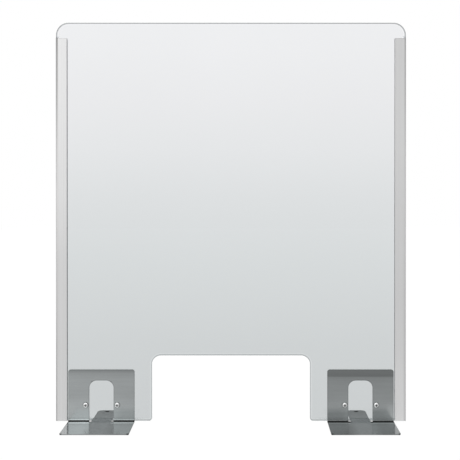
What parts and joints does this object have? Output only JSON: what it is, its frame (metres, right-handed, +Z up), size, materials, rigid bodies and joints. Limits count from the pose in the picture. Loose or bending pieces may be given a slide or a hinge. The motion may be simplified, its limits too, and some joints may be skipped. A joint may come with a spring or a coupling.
{
  "type": "desk privacy panel",
  "caption": "Clear acrylic desk screen with a bottom pass-through, aluminium edge channels and folded steel foot brackets that stand it on a desk.",
  "frame": {"origin": "on the desk top, on the centre line of the screen, midway between the front edges of the feet and the tips of the tongues", "axes": "+Z up, front towards -Y, +X to the right when seen from the front"},
  "size_m": [0.7, 0.1666, 0.8],
  "materials": {
    "acrylic": "clear polished sheet",
    "aluminium": "satin, drawn lengthways",
    "steel": "satin brushed, folded",
    "bright_steel": "bright plated",
    "rubber": "matte anti-slip",
    "soft_pvc": "soft extruded",
    "nylon": "natural moulded"
  },
  "bodies": {
    "root": {"privacy_panel": "acrylic", "edge_channel_left": "aluminium", "edge_channel_right": "aluminium", "channel_liner_left": "soft_pvc", "channel_liner_right": "soft_pvc", "bracket_left": "steel", "bracket_right": "steel", "foot_pad_left": "rubber", "foot_pad_right": "rubber", "tongue_pad_left": "rubber", "tongue_pad_right": "rubber", "screw_left_outer": "bright_steel", "screw_left_inner": "bright_steel", "screw_right_inner": "bright_steel", "screw_right_outer": "bright_steel", "sleeve_left_outer": "nylon", "sleeve_left_inner": "nylon", "sleeve_right_inner": "nylon", "sleeve_right_outer": "nylon", "rear_washer_left_outer": "nylon", "rear_washer_left_inner": "nylon", "rear_washer_right_inner": "nylon", "rear_washer_right_outer": "nylon", "cap_nut_left_outer": "bright_steel", "cap_nut_left_inner": "bright_steel", "cap_nut_right_inner": "bright_steel", "cap_nut_right_outer": "bright_steel"}
  },
  "joints": []
}
